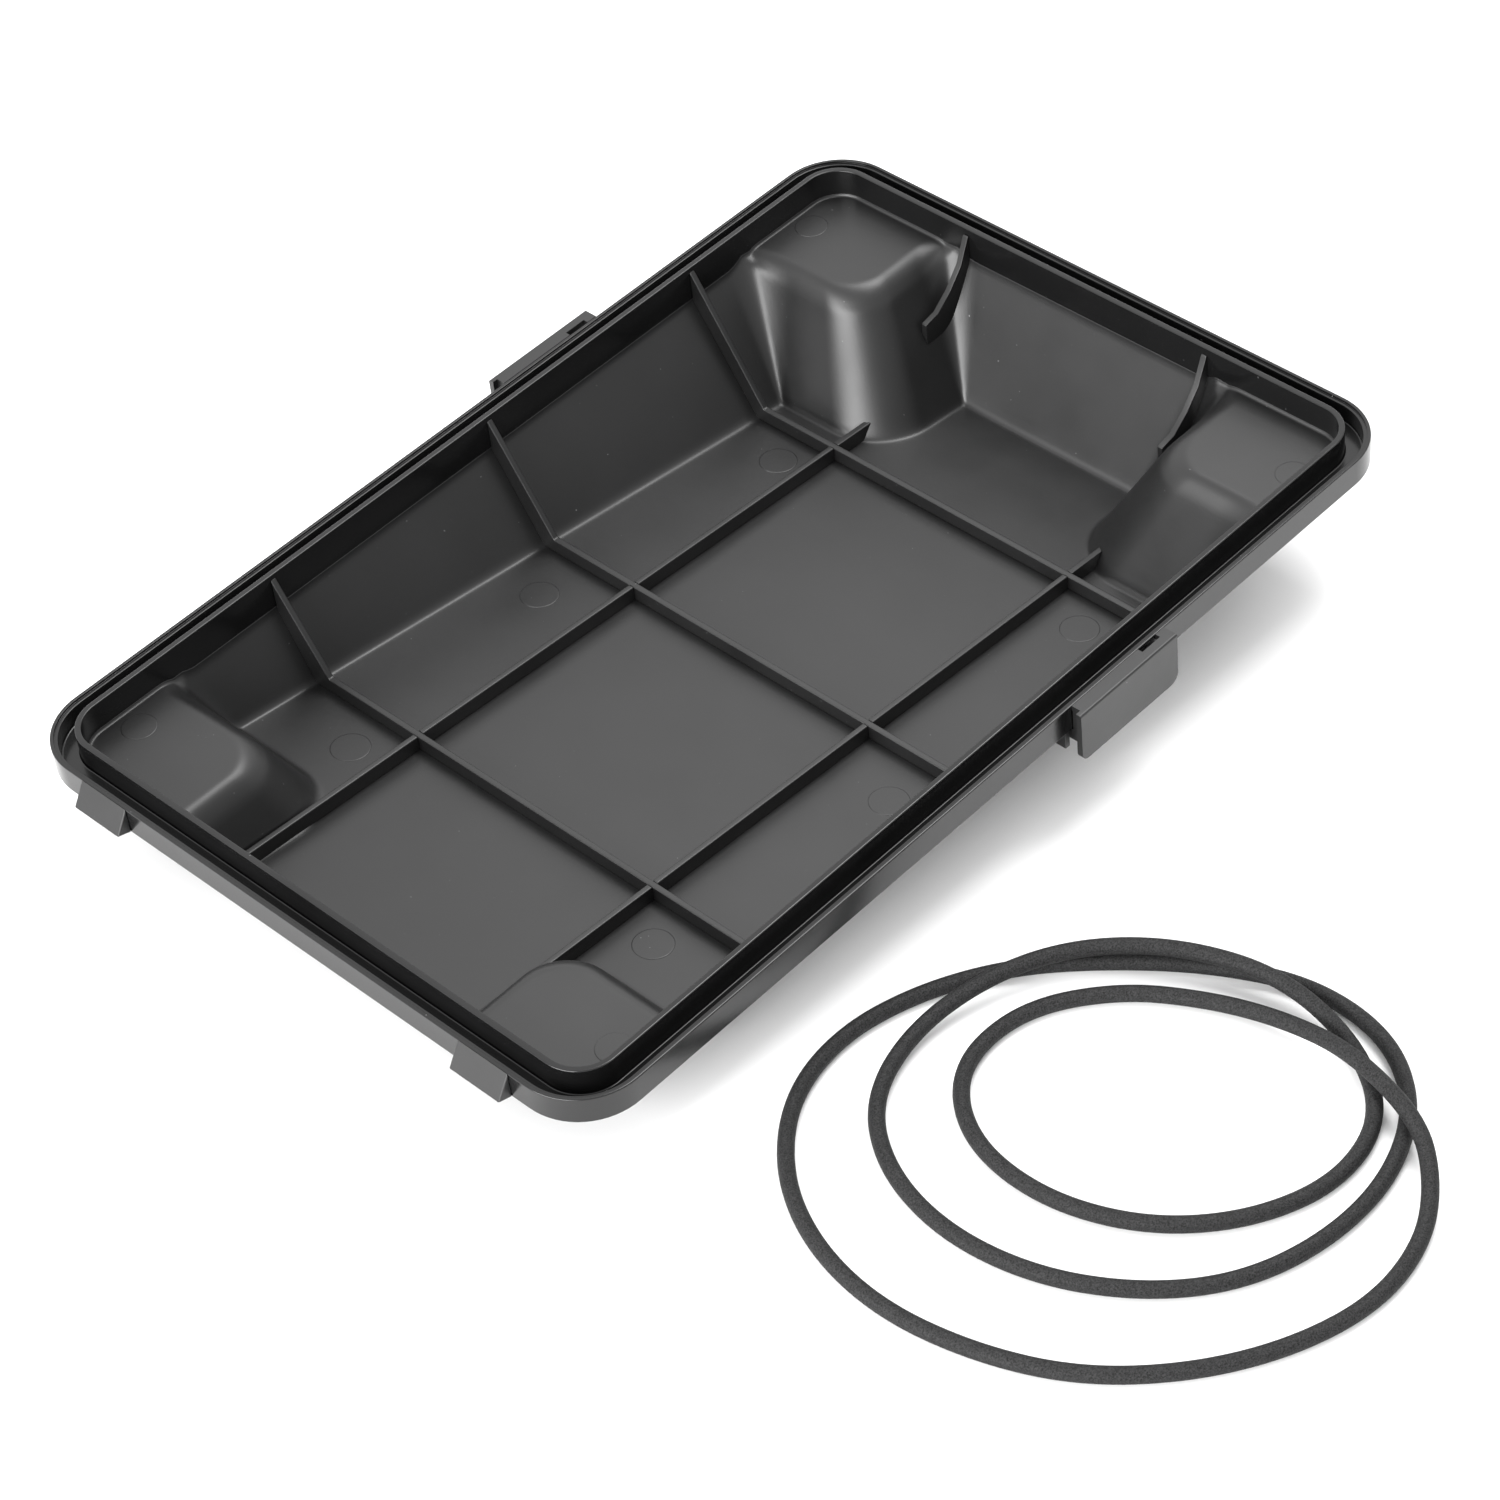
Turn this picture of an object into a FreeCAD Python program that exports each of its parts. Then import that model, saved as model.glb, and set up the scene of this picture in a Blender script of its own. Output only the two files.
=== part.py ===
"""Ribbed moulded tray with a seal groove, two snap clips and a loose endless seal cord.

The shell is drawn in its mould frame: +X along the length towards the deep end, +Z out of the
open mouth, z = 0 on the inner lip.  Every solid is then turned by FLOOR_TILT about Y, so that
the flat floor stands level on z = 0 and the mouth leans by that angle.
"""

import FreeCAD
import Part
import math
import os

V = FreeCAD.Vector

# Mouth, lip and seal groove (mm, mould frame)
LIP_HALF_X = 171.0      # centre line of the inner lip, half length
LIP_HALF_Y = 110.0      # centre line of the inner lip, half width
LIP_RADIUS = 12.5       # corner radius of that centre line
LIP_HALF_THICK = 1.0
GROOVE_OUT = 6.6        # centre line of the lip to the groove's outer side
BEAD_OUT = 7.8          # to the step on top of the outer lip
RIM_OUT = 9.0           # to the outside of the rim
GROOVE_FLOOR_Z = -9.5
BEAD_LOW_Z = -3.4
RIM_TOP_Z = -2.6
RIM_FOOT_Z = -12.0
UPRIGHT_FOOT_Z = -13.4  # where the upright wall turns into the sloped wall

# Floor and sloped walls
FLOOR_TILT = 4.2        # degrees between mouth and floor
FLOOR_DEPTH = 44.25     # inside depth at the middle of the length
WALL = 2.2
FAR_FOOT_X = 150.0
NEAR_FOOT_X = -161.5
SIDE_FOOT_NEAR_Y = 101.5
SIDE_FOOT_FAR_Y = 81.0

# Ribs
RIB_THICK = 2.1
RIB_HEIGHT = 5.5
CROSS_RIB_X = (-86.2, 7.35, 100.7)
LONG_RIB_Y = 50.1
RIB_SLOPE = 0.63        # how far the rib's edge comes inwards per mm of depth
RIB_START_Z = -1.5
WEB_PROFILE = ((169.6, -2.7), (165.5, -12.2), (159.5, -19.3), (153.0, -24.4), (147.0, -25.6))
WEB_FOOT_Z = -34.0

# Corner pockets: the shell is folded inwards round the corners of the housing below
POCKET_TOP_Z = -10.6
POCKET_RADIUS = 15.0    # upright corner, at the top
POCKET_RADIUS_GROWTH = 0.16     # more radius per mm of depth
FAR_POCKET = (129.0, 62.0, 23.5, 29.0)      # edges at the top in x and y, draft of each side in degrees
NEAR_POCKET = (-131.5, 60.5, 27.0, 24.0)

# Catches and clips
CATCH_Y = ((70.4, 90.4), (-90.4, -70.4))
CATCH_PROUD = 4.8
CATCH_TIP_Z = -10.4
CLIP_SPAN_X = (21.7, 65.7)
CLIP_ROOT_X = 23.6      # near end of the flange
CLIP_OUT = 5.2          # outside of the flap from the rim
CLIP_THICK = 2.0
CLIP_FOOT_Z = -21.2
CLIP_WINDOW_X = (53.7, 61.8)
CLIP_WINDOW = 1.8       # width of the window between flange and rim
CLIP_CORNER_RADII = (2.8, 3.6)      # lower corners of the flap, near and far
CLIP_EDGE_RADIUS = 0.8
GUSSET_SPAN_X = (23.6, 25.6)
GUSSET_FOOT_Z = -16.4
GUSSET_GAP = 0.3        # between gusset and rim
GUSSET_UNDER = 2.2      # how far its foot reaches in under the rim
STOP_SPAN_X = (20.2, 22.1)
STOP_FOOT_Z = -17.9
STOP_DEEP = 4.2

# Endless seal cord beside the tray, in the standing frame: its middle line round three loops
CORD_DIA = 5.0
CORD_LOW = CORD_DIA / 2     # lying on the table
CORD_OVER = 8.2             # lying across another loop
CORD_ROUTE = (
    (-138.5, -153.5, CORD_LOW), (-152, -177.5, CORD_LOW), (-156.5, -205.5, CORD_LOW),
    (-151, -234.5, CORD_LOW), (-139, -260, CORD_LOW), (-118.5, -281, CORD_LOW),
    (-94, -295.5, CORD_LOW), (-67.5, -302.5, CORD_LOW), (-42.5, -299, CORD_LOW),
    (-24.5, -288.5, 4.5), (-12.5, -274.5, CORD_OVER + 0.4), (-4, -245.5, CORD_OVER + 0.4),
    (-3, -221.5, 4.5), (-9, -199.5, CORD_LOW), (-23.5, -177, CORD_LOW), (-48, -161, CORD_LOW),
    (-76.5, -162.5, CORD_LOW), (-95, -182.5, CORD_LOW), (-98.5, -211.5, CORD_LOW),
    (-88, -239.5, CORD_LOW), (-67, -259.5, CORD_LOW), (-40, -269, CORD_LOW), (-13, -263, CORD_LOW),
    (4, -240.5, 3), (7, -212, CORD_OVER), (-2, -183.5, CORD_OVER), (-20, -162, CORD_OVER),
    (-44, -150, CORD_OVER), (-73, -144.5, 4.5), (-100.5, -152, CORD_LOW), (-118, -172.5, CORD_LOW),
    (-125, -200, CORD_LOW), (-120.5, -229, CORD_LOW), (-106, -254, CORD_LOW),
    (-85.5, -271.5, CORD_LOW), (-58.5, -279.5, CORD_LOW), (-30, -278.5, CORD_LOW),
    (-4, -267, CORD_LOW), (12.5, -245.5, CORD_LOW), (14.5, -217, CORD_LOW), (2, -190.5, CORD_LOW),
    (-16, -167.5, CORD_LOW), (-36.5, -148, CORD_LOW), (-61.5, -135, CORD_LOW),
    (-89, -129.5, CORD_LOW), (-116, -135.5, CORD_LOW),
)
ARC_SHARE = 0.45            # of the shorter run beside each corner of the route

BIG = 220.0


def rounded_prism(half_x, half_y, radius, z_low, z_high):
    """A block with rounded upright corners."""
    box = Part.makeBox(2 * half_x, 2 * half_y, z_high - z_low, V(-half_x, -half_y, z_low))
    upright = [e for e in box.Edges if abs(e.Vertexes[0].Z - e.Vertexes[-1].Z) > 0.5 * (z_high - z_low)]
    return box.makeFillet(radius, upright)


def lip_prism(offset, z_low, z_high):
    """The lip's centre line, moved outwards by offset and drawn up into a block."""
    return rounded_prism(LIP_HALF_X + offset, LIP_HALF_Y + offset, LIP_RADIUS + offset, z_low, z_high)


def floor_z(x, below=0.0):
    """Height of the floor's inside face in the mould frame, or of a face below it."""
    tilt = math.radians(FLOOR_TILT)
    return -FLOOR_DEPTH - math.tan(tilt) * x - below / math.cos(tilt)


def closed_wire(points):
    return Part.makePolygon(points + points[:1])


def sloped_basin(grow, deeper):
    """The tapering space under the upright wall, grown sideways and downwards."""
    half_x = LIP_HALF_X - LIP_HALF_THICK + grow
    half_y = LIP_HALF_Y - LIP_HALF_THICK + grow
    near_y = SIDE_FOOT_NEAR_Y + grow
    far_y = SIDE_FOOT_FAR_Y + grow
    near_x = NEAR_FOOT_X - grow
    far_x = FAR_FOOT_X + grow
    top = [V(sx * half_x, sy * half_y, UPRIGHT_FOOT_Z) for sx, sy in ((-1, -1), (1, -1), (1, 1), (-1, 1))]
    foot = [
        V(near_x, -near_y, floor_z(near_x, deeper)),
        V(far_x, -far_y, floor_z(far_x, deeper)),
        V(far_x, far_y, floor_z(far_x, deeper)),
        V(near_x, near_y, floor_z(near_x, deeper)),
    ]
    return Part.makeLoft([closed_wire(top), closed_wire(foot)], True, True)


def pocket_block(end, side, shrink):
    """A corner block with a level top, one rounded corner and drafted sides."""
    edge_x, edge_y, draft_x, draft_y = FAR_POCKET if end > 0 else NEAR_POCKET
    top_z = POCKET_TOP_Z - shrink
    wires = []
    for depth in (0.0, 70.0):
        x0 = abs(edge_x) + shrink - depth * math.tan(math.radians(draft_x))
        y0 = edge_y + shrink - depth * math.tan(math.radians(draft_y))
        z = top_z - depth
        r = POCKET_RADIUS + POCKET_RADIUS_GROWTH * depth
        arc = Part.Arc(
            V(end * x0, side * (y0 + r), z),
            V(end * (x0 + r * (1 - math.sqrt(0.5))), side * (y0 + r * (1 - math.sqrt(0.5))), z),
            V(end * (x0 + r), side * y0, z),
        )
        corner = V(end * BIG, side * BIG, z)
        wires.append(Part.Wire([
            Part.LineSegment(V(end * x0, side * BIG, z), V(end * x0, side * (y0 + r), z)).toShape(),
            arc.toShape(),
            Part.LineSegment(V(end * (x0 + r), side * y0, z), V(end * BIG, side * y0, z)).toShape(),
            Part.LineSegment(V(end * BIG, side * y0, z), corner).toShape(),
            Part.LineSegment(corner, V(end * x0, side * BIG, z)).toShape(),
        ]))
    return Part.makeLoft(wires, True, True)


def shell_solid():
    """The whole thin shell inside the lip: floor, sloped walls, upright wall, corner pockets."""
    corners = [(end, side) for end in (1, -1) for side in (1, -1)]
    outside = lip_prism(LIP_HALF_THICK, UPRIGHT_FOOT_Z, 0.0).fuse(sloped_basin(WALL, WALL))
    inside = lip_prism(-LIP_HALF_THICK, UPRIGHT_FOOT_Z, 1.0).fuse(sloped_basin(0.0, 0.0))
    for end, side in corners:
        outside = outside.cut(pocket_block(end, side, WALL))
        inside = inside.cut(pocket_block(end, side, 0.0))
    return outside.cut(inside), inside


def block(x_span, y_span, z_span):
    return Part.makeBox(
        x_span[1] - x_span[0], y_span[1] - y_span[0], z_span[1] - z_span[0],
        V(x_span[0], y_span[0], z_span[0]),
    )


def prism_along(points, direction):
    return Part.Face(closed_wire(points)).extrude(direction)


def largest(shape):
    return max(shape.Solids, key=lambda s: s.Volume)


def cross_rib(x, inside):
    """A rib across the floor that climbs both side walls."""
    top_z = floor_z(x) + RIB_HEIGHT
    edge_y = LIP_HALF_Y - LIP_HALF_THICK
    foot_y = edge_y - RIB_SLOPE * (RIB_START_Z - top_z)
    x0 = x - RIB_THICK / 2
    outline = [
        V(x0, -edge_y, RIB_START_Z), V(x0, -foot_y, top_z), V(x0, foot_y, top_z),
        V(x0, edge_y, RIB_START_Z), V(x0, BIG, RIB_START_Z), V(x0, BIG, -BIG),
        V(x0, -BIG, -BIG), V(x0, -BIG, RIB_START_Z),
    ]
    return largest(prism_along(outline, V(RIB_THICK, 0, 0)).common(inside))


def long_rib_parts(side, inside):
    """The pieces of a lengthwise rib between the cross ribs, from the near wall to the pocket."""
    half = RIB_THICK / 2
    stops = [-LIP_HALF_X] + [x for rib in CROSS_RIB_X for x in (rib - half, rib + half)] + [FAR_FOOT_X]
    y0 = side * LONG_RIB_Y - half
    pieces = []
    for i in range(0, len(stops), 2):
        a = stops[i]
        b = stops[i + 1]
        outline = [
            V(a, y0, floor_z(a) - 1), V(b, y0, floor_z(b) - 1),
            V(b, y0, floor_z(b) + RIB_HEIGHT), V(a, y0, floor_z(a) + RIB_HEIGHT),
        ]
        pieces.append(largest(prism_along(outline, V(0, RIB_THICK, 0)).common(inside)))
    return pieces


def far_web(side, inside):
    """The upper end of a lengthwise rib, standing on the far wall beside the pocket."""
    y0 = side * LONG_RIB_Y - RIB_THICK / 2
    outline = [V(x, y0, z) for x, z in WEB_PROFILE]
    outline += [
        V(WEB_PROFILE[-1][0], y0, WEB_FOOT_Z), V(LIP_HALF_X, y0, WEB_FOOT_Z),
        V(LIP_HALF_X, y0, WEB_PROFILE[0][1]),
    ]
    return largest(prism_along(outline, V(0, RIB_THICK, 0)).common(inside))


def rim_parts():
    """The groove's floor ring and the stepped outer lip."""
    channel = lip_prism(RIM_OUT, RIM_FOOT_Z, GROOVE_FLOOR_Z).cut(lip_prism(LIP_HALF_THICK, -BIG, BIG))
    lip_low = lip_prism(BEAD_OUT, GROOVE_FLOOR_Z, BEAD_LOW_Z).cut(lip_prism(GROOVE_OUT, -BIG, BIG))
    lip_high = lip_prism(RIM_OUT, GROOVE_FLOOR_Z, RIM_TOP_Z).cut(lip_prism(BEAD_OUT, -BIG, BIG))
    return channel, lip_low.fuse(lip_high).removeSplitter()


def side_extrusion(side, outline_yz, x_span):
    """An outline of (distance outside the rim, z) drawn along X on one long side."""
    rim_y = LIP_HALF_Y + RIM_OUT
    points = [V(x_span[0], side * (rim_y + d), z) for d, z in outline_yz]
    return prism_along(points, V(x_span[1] - x_span[0], 0, 0))


def clip(side):
    """Flange, hanging flap and gusset of one snap clip."""
    flap_in = CLIP_OUT - CLIP_THICK
    flange_z = RIM_TOP_Z - CLIP_THICK
    flange = side_extrusion(
        side, [(0, RIM_TOP_Z), (flap_in, RIM_TOP_Z), (flap_in, flange_z), (0, flange_z)],
        (CLIP_ROOT_X, CLIP_SPAN_X[1]))
    window = side_extrusion(
        side, [(-1, 1), (CLIP_WINDOW, 1), (CLIP_WINDOW, flange_z - 1), (-1, flange_z - 1)], CLIP_WINDOW_X)
    flap = side_extrusion(side, [
        (flap_in, RIM_TOP_Z), (CLIP_OUT, RIM_TOP_Z), (CLIP_OUT, CLIP_FOOT_Z), (flap_in, CLIP_FOOT_Z),
    ], CLIP_SPAN_X)
    for x, radius in zip(CLIP_SPAN_X, CLIP_CORNER_RADII):
        corner = [
            e for e in flap.Edges
            if abs(e.CenterOfMass.x - x) < 1e-6 and abs(e.CenterOfMass.z - CLIP_FOOT_Z) < 1e-6
        ]
        flap = flap.makeFillet(radius, corner)
    gusset = side_extrusion(side, [
        (GUSSET_GAP, flange_z), (flap_in, flange_z), (flap_in, GUSSET_FOOT_Z),
        (-GUSSET_UNDER, GUSSET_FOOT_Z), (-GUSSET_UNDER, RIM_FOOT_Z - GUSSET_GAP),
        (GUSSET_GAP, RIM_FOOT_Z - GUSSET_GAP),
    ], GUSSET_SPAN_X)
    whole = flange.cut(window).fuse(flap).fuse(gusset).removeSplitter()
    rim_y = LIP_HALF_Y + RIM_OUT
    ridge = [
        e for e in whole.Edges
        if abs(e.CenterOfMass.z - RIM_TOP_Z) < 1e-6 and abs(abs(e.CenterOfMass.y) - rim_y - CLIP_OUT) < 1e-6
    ]
    return whole.makeFillet(CLIP_EDGE_RADIUS, ridge)


def catch(y_span):
    """A wedge on the near end of the rim, proudest near its lower edge."""
    rim_x = -(LIP_HALF_X + RIM_OUT)
    outline = [V(rim_x, y_span[0], RIM_TOP_Z), V(rim_x - CATCH_PROUD, y_span[0], CATCH_TIP_Z),
               V(rim_x, y_span[0], RIM_FOOT_Z)]
    return prism_along(outline, V(0, y_span[1] - y_span[0], 0))


def clip_stop(side):
    """A short fin hanging from the rim's underside beside the clip."""
    rim_y = LIP_HALF_Y + RIM_OUT
    span_y = sorted((side * (rim_y - STOP_DEEP), side * rim_y))
    return block(STOP_SPAN_X, span_y, (STOP_FOOT_Z, RIM_FOOT_Z))


def shell_pieces(shell):
    """The shell, divided into the lip, the floor, four walls and four corner pockets."""
    lip_zone = block((-BIG, BIG), (-BIG, BIG), (POCKET_TOP_Z, BIG))
    lip = shell.common(lip_zone)
    rest = shell.cut(lip_zone)
    pieces = {"inner_lip": lip}
    for end, end_name in ((1, "far"), (-1, "near")):
        for side, side_name in ((1, "left"), (-1, "right")):
            zone = pocket_block(end, side, 0.0)
            pieces["pocket_%s_%s" % (end_name, side_name)] = largest(rest.common(zone))
            rest = rest.cut(zone)
    under = [V(x, -BIG, floor_z(x)) for x in (-BIG, BIG)]
    slab = prism_along(under + [V(BIG, -BIG, -BIG), V(-BIG, -BIG, -BIG)], V(0, 2 * BIG, 0))
    pieces["floor_panel"] = largest(rest.common(slab))
    walls = rest.cut(slab)
    for name, test in (
        ("wall_far", lambda c: c.x > 140), ("wall_near", lambda c: c.x < -140),
        ("wall_left", lambda c: c.y > 0 and abs(c.x) < 140),
        ("wall_right", lambda c: c.y < 0 and abs(c.x) < 140),
    ):
        pieces[name] = max((s for s in walls.Solids if test(s.CenterOfMass)), key=lambda s: s.Volume)
    return pieces


def stand_up(shape):
    """Turn a solid out of the mould frame, so that the floor's underside is level on z = 0."""
    turned = shape.copy()
    turned.rotate(V(0, 0, 0), V(0, 1, 0), -FLOOR_TILT)
    turned.translate(V(0, 0, FLOOR_DEPTH * math.cos(math.radians(FLOOR_TILT)) + WALL))
    return turned


def cord_path():
    """A closed path of straight runs joined by tangent arcs, and the radii of those arcs."""
    route = [V(*p) for p in CORD_ROUTE]
    count = len(route)
    arcs = []
    radii = []
    for i, corner in enumerate(route):
        back = route[i - 1] - corner
        ahead = route[(i + 1) % count] - corner
        reach = ARC_SHARE * min(back.Length, ahead.Length)
        half_turn = (math.pi - back.getAngle(ahead)) / 2
        radius = reach / math.tan(half_turn)
        back.normalize()
        ahead.normalize()
        towards = back + ahead
        towards.normalize()
        middle = corner + towards * (radius / math.cos(half_turn) - radius)
        arcs.append((corner + back * reach, middle, corner + ahead * reach))
        radii.append(radius)
    edges = []
    for i, (start, middle, end) in enumerate(arcs):
        edges.append(Part.Arc(start, middle, end).toShape())
        edges.append(Part.LineSegment(end, arcs[(i + 1) % count][0]).toShape())
    return edges, radii


def seal_cord():
    """The endless cord: one closed tube, made as two halves that are fused."""
    edges, radii = cord_path()
    halves = []
    for part in (edges[:len(edges) // 2], edges[len(edges) // 2:]):
        wire = Part.Wire(part)
        start = part[0].valueAt(part[0].FirstParameter)
        heading = part[0].tangentAt(part[0].FirstParameter)
        ring = Part.Wire(Part.makeCircle(CORD_DIA / 2, start, heading))
        halves.append(wire.makePipeShell([ring], True, False))
    length = sum(e.Length for e in edges)
    cord = halves[0].fuse(halves[1])
    print("cord length %.1f, smallest radius %.1f, largest %.1f" % (length, min(radii), max(radii)))
    print("radii", " ".join("%.0f" % r for r in radii))
    print("cord volume %.0f, section times length %.0f" % (
        cord.Volume, math.pi * CORD_DIA ** 2 / 4 * length))
    return cord


def write(name, shape):
    solids = shape.Solids
    if len(solids) != 1 or not shape.isValid():
        print("CHECK", name, "solids", len(solids), "valid", shape.isValid())
    solids[0].exportStep("parts/%s.step" % name)
    box = solids[0].optimalBoundingBox(False)
    print("%-22s %8.0f mm3  x %.1f..%.1f  y %.1f..%.1f  z %.1f..%.1f" % (
        name, solids[0].Volume, box.XMin, box.XMax, box.YMin, box.YMax, box.ZMin, box.ZMax))


def main():
    os.makedirs("parts", exist_ok=True)
    shell, inside = shell_solid()
    pieces = shell_pieces(shell)
    pieces["groove_channel"], pieces["outer_lip"] = rim_parts()
    ribs = [cross_rib(x, inside) for x in CROSS_RIB_X]
    for i, rib in enumerate(ribs):
        pieces["cross_rib_%d" % (i + 1)] = rib
    for side, side_name in ((1, "left"), (-1, "right")):
        for i, piece in enumerate(long_rib_parts(side, inside)):
            pieces["long_rib_%s_%d" % (side_name, i + 1)] = piece
        pieces["far_web_%s" % side_name] = far_web(side, inside)
        pieces["clip_%s" % side_name] = clip(side)
        pieces["clip_stop_%s" % side_name] = clip_stop(side)
    for i, span in enumerate(CATCH_Y):
        pieces["catch_%s" % ("left", "right")[i]] = catch(span)
    for name, shape in pieces.items():
        write(name, stand_up(shape))
    write("seal_cord", seal_cord())


main()
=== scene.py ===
"""Looks of the gasketed ribbed tray: moulded shell, snap clips and the endless seal cord."""

import math

import bmesh
import bpy
from mathutils import Matrix, Vector


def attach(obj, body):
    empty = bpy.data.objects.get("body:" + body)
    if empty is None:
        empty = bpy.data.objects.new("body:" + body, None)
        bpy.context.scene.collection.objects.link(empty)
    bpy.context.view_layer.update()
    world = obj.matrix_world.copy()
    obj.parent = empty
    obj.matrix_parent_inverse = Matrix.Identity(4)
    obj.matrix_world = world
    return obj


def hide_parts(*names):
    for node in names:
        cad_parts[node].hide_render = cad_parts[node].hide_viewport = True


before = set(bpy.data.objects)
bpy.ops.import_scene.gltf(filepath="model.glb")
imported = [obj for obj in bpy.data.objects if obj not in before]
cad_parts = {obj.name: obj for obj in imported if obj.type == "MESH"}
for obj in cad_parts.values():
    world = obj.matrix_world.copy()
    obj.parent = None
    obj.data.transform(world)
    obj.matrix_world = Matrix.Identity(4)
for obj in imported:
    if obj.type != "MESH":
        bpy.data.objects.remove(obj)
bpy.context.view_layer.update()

# ---------------------------------------------------------------- sizes
# Millimetres in the mould frame: z = 0 on the inner lip, +X towards the deep end, +Z out of
# the mouth.  placed() turns a point into the row frame, in metres.

MM = 0.001
TILT = math.radians(4.2)
WALL = 2.2
FLOOR_DEPTH = 44.25
STAND = FLOOR_DEPTH * math.cos(TILT) + WALL
TURN = Matrix.Translation((0, 0, STAND * MM)) @ Matrix.Rotation(-TILT, 4, "Y")

LIP_HALF_X = 171.0
LIP_HALF_Y = 110.0
LIP_RADIUS = 12.5
LIP_HALF_THICK = 1.0
GROOVE_OUT = 6.6
BEAD_OUT = 7.8
RIM_OUT = 9.0
GROOVE_FLOOR_Z = -9.5
BEAD_LOW_Z = -3.4
RIM_TOP_Z = -2.6
RIM_FOOT_Z = -12.0
UPRIGHT_FOOT_Z = -13.4
FAR_FOOT_X = 150.0
NEAR_FOOT_X = -161.5
SIDE_FOOT_NEAR_Y = 101.5
SIDE_FOOT_FAR_Y = 81.0

POCKET_TOP_Z = -10.6
POCKET_RADIUS = 15.0
POCKET_RADIUS_GROWTH = 0.16
# edges at the top in x and y, draft of each side in degrees
FAR_POCKET = (129.0, 62.0, 23.5, 29.0)
NEAR_POCKET = (131.5, 60.5, 27.0, 24.0)

# Two faces run into each other where their heights differ by less than these
WALL_BLEND = 2.4            # floor and walls
POCKET_EDGE_BLEND = 8.5     # top and sides of a raised corner
FAR_HOLLOW = (2.0, 27.0)    # foot of a raised corner: at the floor, and what is added by its top
NEAR_HOLLOW = (4.0, 17.0)
EDGE_FADE = (4.0, 14.0)     # depths between which the rounding of a raised corner's edge dies out
UPRIGHT_FILLET = 1.0        # radius where the sloped walls meet the upright one

SKIN = WALL - 0.01          # a hair thinner than the CAD's wall
SKIN_AT_EDGE = 1.6
SKIN_FADE = 3.0             # distance from the edge at which the skin has its full thickness

# Grid of the basin: distances from the edge and from a foot line, then steps and limits
EDGE_STEPS = (0.0, 0.04, 0.11, 0.23, 0.39, 0.58, 0.78, 1.0)
FOOT_STEPS = (-1.0, -0.6, -0.32, -0.12, 0.12, 0.32, 0.6, 1.0)
FOOT_CLEAR = 1.3
FINE_STEP = 0.85
FLOOR_STEP_X = 3.0
FLOOR_STEP_Y = 3.4
FLOOR_SPAN_X = (-112.0, 98.0)       # columns between these are FLOOR_STEP_X apart
BEND_SPAN_X = (-121.0, 115.0)       # rows follow the side wall's foot between these
ROW_FOOT = 92.0                     # the row that is bent to follow that foot
ROW_STILL = 34.0                    # rows nearer the middle than this run straight

PIN_RADIUS = 6.4
POCKET_PIN_RADIUS = 0.88 * PIN_RADIUS
PIN_STEPS = 48
FLOOR_PINS = (
    (-100.8, 66.0), (-100.6, -63.8), (-12.0, 74.0), (-10.6, -74.5), (87.4, 63.3), (87.2, -66.3),
)
POCKET_PINS = ((-150.2, 101.0), (-150.5, -101.0), (149.6, 101.5), (149.4, -101.5))

# How wide the edges of the CAD's nodes are rounded, by the start of their names
EDGE_WIDTHS = {"cross_rib": 0.45, "long_rib": 0.45, "far_web": 0.45, "clip": 0.3, "catch": 0.4}

# The cord lies beside the tray, in millimetres in the row frame: the route that it follows
CORD_DIA = 5.0
LOW = CORD_DIA / 2      # lying on the table
OVER = 8.2              # lying across another loop
CORD_ROUTE = (
    (-138.5, -153.5, LOW), (-152, -177.5, LOW), (-156.5, -205.5, LOW), (-151, -234.5, LOW),
    (-139, -260, LOW), (-118.5, -281, LOW), (-94, -295.5, LOW), (-67.5, -302.5, LOW),
    (-42.5, -299, LOW), (-24.5, -288.5, 4.5), (-12.5, -274.5, OVER + 0.4),
    (-4, -245.5, OVER + 0.4), (-3, -221.5, 4.5), (-9, -199.5, LOW), (-23.5, -177, LOW),
    (-48, -161, LOW), (-76.5, -162.5, LOW), (-95, -182.5, LOW), (-98.5, -211.5, LOW),
    (-88, -239.5, LOW), (-67, -259.5, LOW), (-40, -269, LOW), (-13, -263, LOW), (4, -240.5, 3),
    (7, -212, OVER), (-2, -183.5, OVER), (-20, -162, OVER), (-44, -150, OVER), (-73, -144.5, 4.5),
    (-100.5, -152, LOW), (-118, -172.5, LOW), (-125, -200, LOW), (-120.5, -229, LOW),
    (-106, -254, LOW), (-85.5, -271.5, LOW), (-58.5, -279.5, LOW), (-30, -278.5, LOW),
    (-4, -267, LOW), (12.5, -245.5, LOW), (14.5, -217, LOW), (2, -190.5, LOW), (-16, -167.5, LOW),
    (-36.5, -148, LOW), (-61.5, -135, LOW), (-89, -129.5, LOW), (-116, -135.5, LOW),
)


def placed(x, y, z):
    """A point of the mould frame, turned into the row frame and in metres."""
    return TURN @ (Vector((x, y, z)) * MM)


# ---------------------------------------------------------------- camera and light

def make_camera():
    """The photograph's camera, in the mould frame, with its place in half lengths of the lip."""
    data = bpy.data.cameras.new("camera")
    cam = bpy.data.objects.new("camera", data)
    bpy.context.scene.collection.objects.link(cam)
    data.lens = 102.45
    data.sensor_width = 36
    data.clip_start = 0.05
    data.clip_end = 20
    place = Vector((-3.7011, -4.1767, 5.1207)) * LIP_HALF_X * MM
    right = Vector((0.6825, -0.7255, -0.0882))
    down = Vector((-0.5592, -0.4408, -0.7021))
    ahead = Vector((0.4705, 0.5286, -0.7066))
    turn = Matrix((right, -down, -ahead)).transposed().to_4x4()
    cam.matrix_world = TURN @ Matrix.Translation(place) @ turn
    bpy.context.scene.camera = cam


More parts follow.
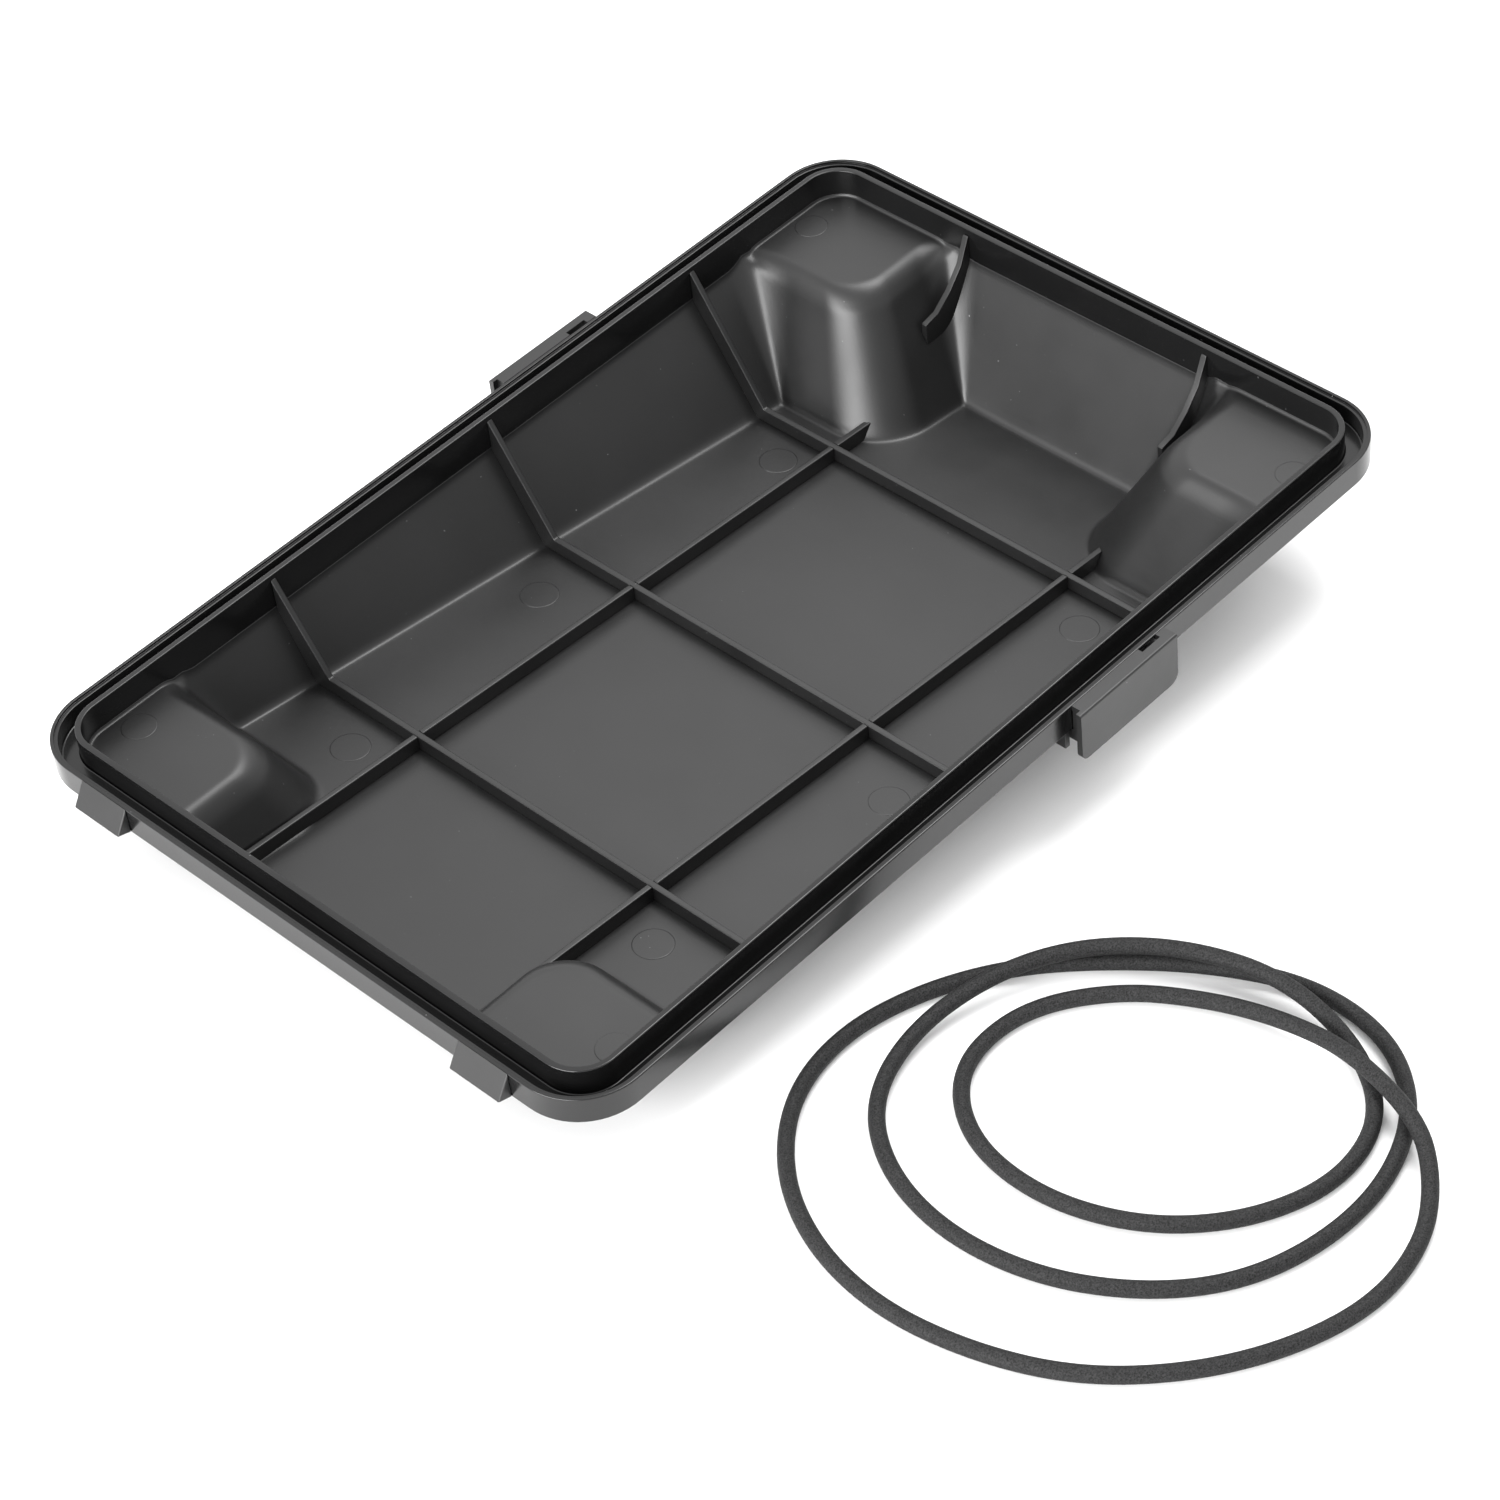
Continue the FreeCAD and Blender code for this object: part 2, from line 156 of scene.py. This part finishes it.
def make_floor():
    """A wide, matte, pale floor just under the part."""
    bpy.ops.mesh.primitive_plane_add(size=12, location=(0, 0, -0.0004))
    floor = bpy.context.object
    floor.name = "studio_floor"
    mat = bpy.data.materials.new("studio_floor")
    mat.use_nodes = True
    shader = mat.node_tree.nodes["Principled BSDF"]
    shader.inputs["Base Color"].default_value = (0.86, 0.86, 0.86, 1)
    shader.inputs["Roughness"].default_value = 0.9
    shader.inputs["Specular IOR Level"].default_value = 0.2
    floor.data.materials.append(mat)


def area_light(name, place, aim, size, power):
    """A rectangular softbox at a place, turned towards its aim."""
    data = bpy.data.lights.new(name, "AREA")
    data.shape = "RECTANGLE"
    data.size, data.size_y = size
    data.energy = power
    light = bpy.data.objects.new(name, data)
    bpy.context.scene.collection.objects.link(light)
    light.location = place
    light.rotation_mode = "QUATERNION"
    light.rotation_quaternion = (Vector(aim) - Vector(place)).to_track_quat("-Z", "Y")


def make_light():
    """A pale surround, dimmer towards -Y, with a wide softbox at the near end and one overhead."""
    world = bpy.data.worlds.new("studio")
    world.use_nodes = True
    nodes, links = world.node_tree.nodes, world.node_tree.links
    background = nodes["Background"]
    background.inputs["Color"].default_value = (1, 1, 1, 1)
    split = nodes.new("ShaderNodeSeparateXYZ")
    links.new(nodes.new("ShaderNodeTexCoord").outputs["Generated"], split.inputs["Vector"])
    fade = nodes.new("ShaderNodeMapRange")
    for key, value in (("From Min", -0.8), ("From Max", 0.4), ("To Min", 0.9), ("To Max", 1.55)):
        fade.inputs[key].default_value = value
    links.new(split.outputs["Y"], fade.inputs["Value"])
    links.new(fade.outputs["Result"], background.inputs["Strength"])
    bpy.context.scene.world = world
    area_light("end_soft", (-2.2, -0.2, 0.85), (0, 0, 0), (1.9, 1.0), 105)
    area_light("top_soft", (0.7, 0.0, 1.9), (0, 0, 0), (1.1, 0.9), 30)


# ---------------------------------------------------------------- materials

class Nodes:
    """A material's node tree, with short ways to add and join nodes."""

    def __init__(self, name):
        self.material = bpy.data.materials.new(name)
        self.material.use_nodes = True
        self.tree = self.material.node_tree
        self.shader = self.tree.nodes["Principled BSDF"]
        self.where = self.add("ShaderNodeTexCoord").outputs["Object"]

    def add(self, kind):
        return self.tree.nodes.new(kind)

    def join(self, source, target):
        self.tree.links.new(source, target)

    def noise(self, scale, detail, roughness=0.5):
        """Noise over the piece."""
        node = self.add("ShaderNodeTexNoise")
        node.inputs["Scale"].default_value = scale
        node.inputs["Detail"].default_value = detail
        node.inputs["Roughness"].default_value = roughness
        self.join(self.where, node.inputs["Vector"])
        return node.outputs["Fac"]

    def ramp(self, value, low, high, at=(0.0, 1.0)):
        """A value turned into a colour, from low to high between two places."""
        node = self.add("ShaderNodeValToRGB")
        for element, place, colour in zip(node.color_ramp.elements, at, (low, high)):
            element.position = place
            element.color = (*colour, 1)
        self.join(value, node.inputs["Fac"])
        return node.outputs["Color"]

    def spread(self, value, low, high):
        """A value from 0 to 1 stretched to run from low to high."""
        node = self.add("ShaderNodeMapRange")
        node.inputs["To Min"].default_value = low
        node.inputs["To Max"].default_value = high
        self.join(value, node.inputs["Value"])
        return node.outputs["Result"]

    def lighten(self, below, above):
        """The lighter of two colours."""
        node = self.add("ShaderNodeMix")
        node.data_type = "RGBA"
        node.blend_type = "LIGHTEN"
        node.inputs["Factor"].default_value = 1.0
        self.join(below, node.inputs["A"])
        self.join(above, node.inputs["B"])
        return node.outputs["Result"]

    def bump(self, height, strength, distance, under=None):
        """A bumpy surface, on top of another where one is given."""
        node = self.add("ShaderNodeBump")
        node.inputs["Strength"].default_value = strength
        node.inputs["Distance"].default_value = distance
        self.join(height, node.inputs["Height"])
        if under is not None:
            self.join(under, node.inputs["Normal"])
        return node.outputs["Normal"]


def grey(value):
    """A grey with a trace of blue."""
    return (value, value, value * 1.02)


def moulding_material(name, roughness, grain, specular):
    """Near-black moulded plastic with a fine grain, faint flow patches and stray dust."""
    n = Nodes(name)
    body = n.ramp(n.noise(28, 3), grey(0.004), grey(0.0065), (0.3, 0.7))
    dust = n.ramp(n.noise(900, 1), grey(0.0), grey(0.16), (0.80, 0.84))
    n.join(n.lighten(body, dust), n.shader.inputs["Base Color"])
    n.join(n.spread(n.noise(60, 4), *roughness), n.shader.inputs["Roughness"])
    n.shader.inputs["Specular IOR Level"].default_value = specular
    coarse = n.bump(n.noise(1100, 2), 0.35 * grain, 0.00004)
    n.join(n.bump(n.noise(3200, 2), 0.4 * grain, 0.00003, coarse), n.shader.inputs["Normal"])
    return n.material


def rubber_material():
    """Matte black foam rubber whose skin is pitted and flecked."""
    n = Nodes("seal_rubber")
    skin = n.ramp(n.noise(2100, 3, 0.7), grey(0.002), grey(0.035), (0.36, 0.72))
    n.join(skin, n.shader.inputs["Base Color"])
    n.join(n.spread(n.noise(700, 3), 0.55, 0.85), n.shader.inputs["Roughness"])
    n.shader.inputs["Specular IOR Level"].default_value = 0.22
    pits = n.bump(n.noise(1500, 3, 0.65), 0.55, 0.00016)
    n.join(n.bump(n.noise(300, 2), 0.2, 0.0003, pits), n.shader.inputs["Normal"])
    return n.material


# ---------------------------------------------------------------- mesh helpers

def mesh_object(name, points, faces, material):
    """A smooth piece from points in the mould frame, in millimetres."""
    mesh = bpy.data.meshes.new(name)
    mesh.from_pydata([placed(*p) for p in points], [], faces)
    mesh.materials.append(material)
    for polygon in mesh.polygons:
        polygon.use_smooth = True
    piece = bpy.data.objects.new(name, mesh)
    bpy.context.scene.collection.objects.link(piece)
    return piece


def keep_flats_flat(piece):
    """Let the large faces decide how a smooth piece is shaded."""
    weighted = piece.modifiers.new("flat_faces", "WEIGHTED_NORMAL")
    weighted.weight = 50


def soften_edges(piece, width):
    """Small rounded edges on a CAD node, and flat faces kept flat between them."""
    for polygon in piece.data.polygons:
        polygon.use_smooth = True
    weld = piece.modifiers.new("joined", "WELD")
    weld.merge_threshold = 0.000005
    bevel = piece.modifiers.new("rounded_edges", "BEVEL")
    bevel.width = width * MM
    bevel.segments = 3
    bevel.limit_method = "ANGLE"
    bevel.angle_limit = math.radians(35)
    bevel.miter_outer = "MITER_ARC"
    bevel.use_clamp_overlap = True
    keep_flats_flat(piece)


def rounded_outline(corners, steps=4):
    """A closed outline of (a, b, radius) corners, each rounded off by its radius."""
    outline = []
    count = len(corners)
    for i, (a, b, radius) in enumerate(corners):
        here = Vector((a, b))
        if radius == 0:
            outline.append(here)
            continue
        back = (Vector(corners[i - 1][:2]) - here).normalized()
        ahead = (Vector(corners[(i + 1) % count][:2]) - here).normalized()
        start = here + back * radius
        end = here + ahead * radius
        for k in range(steps + 1):
            t = k / steps
            outline.append(start * (1 - t) ** 2 + here * 2 * t * (1 - t) + end * t * t)
    return outline


def rim_stations(arc_steps=16, long_steps=40, short_steps=26):
    """Points round the rim: a centre, and the direction in which an offset goes."""
    half_x = LIP_HALF_X - LIP_RADIUS
    half_y = LIP_HALF_Y - LIP_RADIUS
    centres = [(half_x, half_y), (-half_x, half_y), (-half_x, -half_y), (half_x, -half_y)]
    stations = []
    for quarter, centre in enumerate(centres):
        for k in range(arc_steps + 1):
            angle = math.pi / 2 * (quarter + k / arc_steps)
            stations.append((Vector(centre), Vector((math.cos(angle), math.sin(angle)))))
        following = Vector(centres[(quarter + 1) % 4])
        steps = short_steps if quarter % 2 else long_steps
        direction = stations[-1][1]
        for k in range(1, steps):
            stations.append((Vector(centre).lerp(following, k / steps), direction))
    return stations


# ---------------------------------------------------------------- the rim

def make_rim(material):
    """Inner lip, seal groove and stepped outer lip: one outline drawn round the mouth."""
    outline = rounded_outline([
        (-LIP_HALF_THICK, UPRIGHT_FOOT_Z, 0), (LIP_HALF_THICK, UPRIGHT_FOOT_Z, 0.2),
        (LIP_HALF_THICK, RIM_FOOT_Z, 0.3), (RIM_OUT, RIM_FOOT_Z, 0.35), (RIM_OUT, RIM_TOP_Z, 0.45),
        (BEAD_OUT, RIM_TOP_Z, 0.25), (BEAD_OUT, BEAD_LOW_Z, 0.15), (GROOVE_OUT, BEAD_LOW_Z, 0.35),
        (GROOVE_OUT, GROOVE_FLOOR_Z, 0.6), (LIP_HALF_THICK, GROOVE_FLOOR_Z, 0.6),
        (LIP_HALF_THICK, 0.0, 0.45), (-LIP_HALF_THICK, 0.0, 0.45),
    ])
    points = []
    faces = []
    stations = rim_stations()
    width = len(outline)
    for centre, direction in stations:
        for offset, z in outline:
            flat = centre + direction * (LIP_RADIUS + offset)
            points.append((flat.x, flat.y, z))
    for i in range(len(stations)):
        here = i * width
        following = (i + 1) % len(stations) * width
        for k in range(width):
            j = (k + 1) % width
            faces.append((here + k, following + k, following + j, here + j))
    rim = mesh_object("moulded_rim", points, faces, material)
    keep_flats_flat(rim)
    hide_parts("inner_lip", "outer_lip", "groove_channel")
    return rim


# ---------------------------------------------------------------- the basin

def blend_up(a, b, width):
    """The higher of two heights, with a hollow fillet where they meet."""
    share = max(width - abs(a - b), 0.0) / width
    return max(a, b) + share * share * width / 4


def blend_down(a, b, width):
    """The lower of two heights, with a rounded edge where they meet."""
    if width < 0.05:
        return min(a, b)
    share = max(width - abs(a - b), 0.0) / width
    return min(a, b) - share * share * width / 4


def clamp(value):
    """A value kept between 0 and 1."""
    return min(max(value, 0.0), 1.0)


def floor_z(x):
    """Height of the floor's inside face, which slopes down to the deep end."""
    return -FLOOR_DEPTH - math.tan(TILT) * x


def side_foot_y(x):
    """Distance from the middle to the foot of a side wall."""
    share = (x - NEAR_FOOT_X) / (FAR_FOOT_X - NEAR_FOOT_X)
    return SIDE_FOOT_NEAR_Y + (SIDE_FOOT_FAR_Y - SIDE_FOOT_NEAR_Y) * share


def slope_z(distance, run, foot_z):
    """Height of a sloped wall, at a distance in from the mouth's edge."""
    return UPRIGHT_FOOT_Z - distance * (UPRIGHT_FOOT_Z - foot_z) / run


def pocket_depth(x, y, pocket):
    """Depth below the pocket's top at which its side passes over a point."""
    edge_x, edge_y, draft_x, draft_y = pocket
    lean_x = math.tan(math.radians(draft_x))
    lean_y = math.tan(math.radians(draft_y))
    depth = max((edge_x - x) / lean_x, (edge_y - y) / lean_y)
    radius = POCKET_RADIUS + POCKET_RADIUS_GROWTH * depth
    if x < edge_x - depth * lean_x + radius and y < edge_y - depth * lean_y + radius:
        ax = x - edge_x - POCKET_RADIUS
        ay = y - edge_y - POCKET_RADIUS
        bx = lean_x - POCKET_RADIUS_GROWTH
        by = lean_y - POCKET_RADIUS_GROWTH
        a = bx * bx + by * by - POCKET_RADIUS_GROWTH ** 2
        b = 2 * (ax * bx + ay * by - POCKET_RADIUS * POCKET_RADIUS_GROWTH)
        c = ax * ax + ay * ay - POCKET_RADIUS ** 2
        depth = (-b - math.sqrt(max(b * b - 4 * a * c, 0.0))) / (2 * a)
    return depth


def basin_z(x, y):
    """Height of the basin's inside face, away from its rounded foot at the upright wall."""
    half_x = LIP_HALF_X - LIP_HALF_THICK
    half_y = LIP_HALF_Y - LIP_HALF_THICK
    floor = floor_z(x)
    side = slope_z(half_y - abs(y), half_y - side_foot_y(x), floor)
    far = slope_z(half_x - x, half_x - FAR_FOOT_X, floor_z(FAR_FOOT_X))
    near = slope_z(half_x + x, half_x + NEAR_FOOT_X, floor_z(NEAR_FOOT_X))
    height = blend_up(blend_up(floor, side, WALL_BLEND), max(far, near), WALL_BLEND)
    pocket, hollow = (FAR_POCKET, FAR_HOLLOW) if x > 0 else (NEAR_POCKET, NEAR_HOLLOW)
    depth = pocket_depth(abs(x), abs(y), pocket)
    flank = POCKET_TOP_Z - depth
    rise = clamp((max(height, min(flank, POCKET_TOP_Z)) - floor) / (POCKET_TOP_Z - floor))
    height = blend_up(height, flank, hollow[0] + hollow[1] * rise)
    fade_from, fade_to = EDGE_FADE
    if depth < fade_to:
        fade = clamp((depth - fade_from) / (fade_to - fade_from))
        height = blend_down(height, POCKET_TOP_Z, POCKET_EDGE_BLEND * (1 - fade))
    return height


def spaced(start, end, step):
    """Even places from start up to but not including end, about a step apart."""
    count = max(1, round((end - start) / step))
    return [start + (end - start) * k / count for k in range(count)]


def with_foot(lines, foot):
    """Grid lines with closer ones round a foot line."""
    kept = [v for v in lines if abs(v - foot) > FOOT_CLEAR]
    return sorted(kept + [foot + s for s in FOOT_STEPS])


def basin_columns():
    """Where the grid's columns lie in x: close together over the walls, wider over the floor."""
    half = LIP_HALF_X - LIP_HALF_THICK
    inner = half - EDGE_STEPS[-1]
    floor_from, floor_to = FLOOR_SPAN_X
    lines = spaced(-inner, floor_from, FINE_STEP)
    lines += spaced(floor_from, floor_to, FLOOR_STEP_X) + spaced(floor_to, inner, FINE_STEP)
    lines = with_foot(with_foot(lines[1:], NEAR_FOOT_X), FAR_FOOT_X)
    edges = [half - s for s in EDGE_STEPS]
    return [-v for v in edges] + lines + edges[::-1]


def basin_rows():
    """Where the grid's rows lie in y, before they are bent."""
    half = LIP_HALF_Y - LIP_HALF_THICK
    inner = half - EDGE_STEPS[-1]
    lines = spaced(0, ROW_STILL, FLOOR_STEP_Y) + spaced(ROW_STILL, inner, FINE_STEP)
    lines = with_foot(lines[1:], ROW_FOOT) + [half - s for s in EDGE_STEPS[::-1]]
    return [-v for v in lines[::-1]] + [0.0] + lines


def bent_row(row, x):
    """Where a row lies at x: the one at ROW_FOOT follows the foot of the side wall."""
    size = abs(row)
    inner = LIP_HALF_Y - LIP_HALF_THICK - EDGE_STEPS[-1]
    foot = side_foot_y(min(max(x, BEND_SPAN_X[0]), BEND_SPAN_X[1]))
    if ROW_STILL < size <= ROW_FOOT:
        size = ROW_STILL + (size - ROW_STILL) * (foot - ROW_STILL) / (ROW_FOOT - ROW_STILL)
    elif ROW_FOOT < size <= inner:
        size = foot + (size - ROW_FOOT) * (inner - foot) / (inner - ROW_FOOT)
    return math.copysign(size, row)


def rounded_in(x, y):
    """A grid point moved into the mouth's rounded corner, and its distance from the edge."""
    half_x = LIP_HALF_X - LIP_HALF_THICK
    half_y = LIP_HALF_Y - LIP_HALF_THICK
    radius = LIP_RADIUS - LIP_HALF_THICK
    u = (abs(x) - half_x + radius) / radius
    v = (abs(y) - half_y + radius) / radius
    if u <= 0 or v <= 0:
        return x, y, min(half_x - abs(x), half_y - abs(y))
    reach = max(u, v)
    length = math.hypot(u, v)
    x = math.copysign(half_x - radius + radius * u * reach / length, x)
    y = math.copysign(half_y - radius + radius * v * reach / length, y)
    return x, y, radius * (1 - reach)


def basin_point(column, row):
    """A point of the basin's inside face, and how thick the skin is there."""
    x, y, edge = rounded_in(column, bent_row(row, column))
    z = basin_z(x, y)
    if edge < UPRIGHT_FILLET:
        share = 1 - edge / UPRIGHT_FILLET
        z += UPRIGHT_FILLET * (1 - math.sqrt(max(1 - share * share, 0.0)))
    return (x, y, z), SKIN_AT_EDGE + (SKIN - SKIN_AT_EDGE) * clamp(edge / SKIN_FADE)


def border(length, width):
    """Numbers of the points round the edge of a grid, in order."""
    count = length * width
    numbers = list(range(width))
    numbers += [i * width + width - 1 for i in range(1, length)]
    numbers += [count - 1 - j for j in range(1, width)]
    return numbers + [i * width for i in range(length - 2, 0, -1)]


def give_thickness(piece, thickness, edge_points):
    """Turn one open face into a closed skin, as thick at each point as is asked for."""
    shell = bmesh.new()
    shell.from_mesh(piece.data)
    shell.verts.ensure_lookup_table()
    shell.faces.ensure_lookup_table()
    shell.normal_update()
    inside = list(shell.verts)
    below = [shell.verts.new(v.co - v.normal * thickness[i] * MM) for i, v in enumerate(inside)]
    for face in list(shell.faces):
        under = shell.faces.new([below[v.index] for v in reversed(face.verts)])
        under.smooth = True
    for k, a in enumerate(edge_points):
        b = edge_points[(k + 1) % len(edge_points)]
        side = shell.faces.new((inside[a], inside[b], below[b], below[a]))
        side.smooth = True
    bmesh.ops.recalc_face_normals(shell, faces=shell.faces)
    shell.to_mesh(piece.data)
    shell.free()


def make_basin(material):
    """Floor, sloped walls and corner pockets: one thin shell with rounded hollows and edges."""
    columns = basin_columns()
    rows = basin_rows()
    width = len(rows)
    grid = [basin_point(column, row) for column in columns for row in rows]
    faces = []
    for i in range(len(columns) - 1):
        for j in range(width - 1):
            a = i * width + j
            faces.append((a, a + width, a + width + 1, a + 1))
    basin = mesh_object("moulded_basin", [point for point, _ in grid], faces, material)
    give_thickness(basin, [skin for _, skin in grid], border(len(columns), width))
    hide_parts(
        "floor_panel", "wall_near", "wall_far", "wall_left", "wall_right",
        "pocket_far_left", "pocket_far_right", "pocket_near_left", "pocket_near_right")
    return basin


# ---------------------------------------------------------------- small marks

def make_pin_marks(material):
    """Shallow raised discs where the ejector pins pressed, on the floor and the corners."""
    # shares of the radius and heights, from the middle out and down into the face
    section = ((0.0, 0.13), (0.93, 0.13), (0.965, 0.12), (0.99, 0.07), (1.0, 0.0), (1.0, -0.5))
    points = []
    faces = []
    pins = [(x, y, PIN_RADIUS, floor_z) for x, y in FLOOR_PINS]
    pins += [(x, y, POCKET_PIN_RADIUS, lambda _: POCKET_TOP_Z) for x, y in POCKET_PINS]
    for x, y, radius, height in pins:
        first = len(points)
        points.append((x, y, height(x) + section[0][1]))
        for reach, rise in section[1:]:
            for k in range(PIN_STEPS):
                angle = 2 * math.pi * k / PIN_STEPS
                px = x + radius * reach * math.cos(angle)
                points.append((px, y + radius * reach * math.sin(angle), height(px) + rise))
        for ring in range(len(section) - 1):
            outer = first + 1 + ring * PIN_STEPS
            inner = outer - PIN_STEPS
            for k in range(PIN_STEPS):
                j = (k + 1) % PIN_STEPS
                if ring == 0:
                    faces.append((first, outer + k, outer + j))
                else:
                    faces.append((inner + k, outer + k, outer + j, inner + j))
        last = first + 1 + (len(section) - 2) * PIN_STEPS
        faces.append(tuple(last + k for k in reversed(range(PIN_STEPS))))
    marks = mesh_object("pin_marks", points, faces, material)
    keep_flats_flat(marks)
    return marks


# ---------------------------------------------------------------- the cord

def make_cord(material):
    """The endless seal cord, lying in three loose loops beside the tray."""
    last = Vector(CORD_ROUTE[-1])
    joint = (last + Vector(CORD_ROUTE[0])) / 2
    route = [joint, *map(Vector, CORD_ROUTE), joint]
    curve = bpy.data.curves.new("seal_cord_loop", "CURVE")
    curve.dimensions = "3D"
    spline = curve.splines.new("NURBS")
    spline.points.add(len(route) - 1)
    for point, place in zip(spline.points, route):
        point.co = (*(place * MM), 1)
    spline.order_u = 3
    spline.use_endpoint_u = True
    spline.resolution_u = 12
    curve.resolution_u = 12
    curve.bevel_depth = CORD_DIA / 2 * MM
    curve.bevel_resolution = 7
    curve.materials.append(material)
    cord = bpy.data.objects.new("seal_cord_loop", curve)
    bpy.context.scene.collection.objects.link(cord)
    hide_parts("seal_cord")
    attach(cord, "tray")


# ---------------------------------------------------------------- making

make_camera()
make_floor()
make_light()
textured = moulding_material("moulding_textured", roughness=(0.34, 0.48), grain=1.0, specular=0.57)
polished = moulding_material("moulding_polished", roughness=(0.16, 0.24), grain=0.3, specular=0.44)
make_cord(rubber_material())

for piece in (make_rim(polished), make_basin(textured), make_pin_marks(textured)):
    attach(piece, "tray")

for node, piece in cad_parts.items():
    for start, width in EDGE_WIDTHS.items():
        if node.startswith(start):
            piece.data.materials.clear()
            piece.data.materials.append(textured)
            soften_edges(piece, width)
            break

bpy.context.scene.view_settings.view_transform = "Standard"
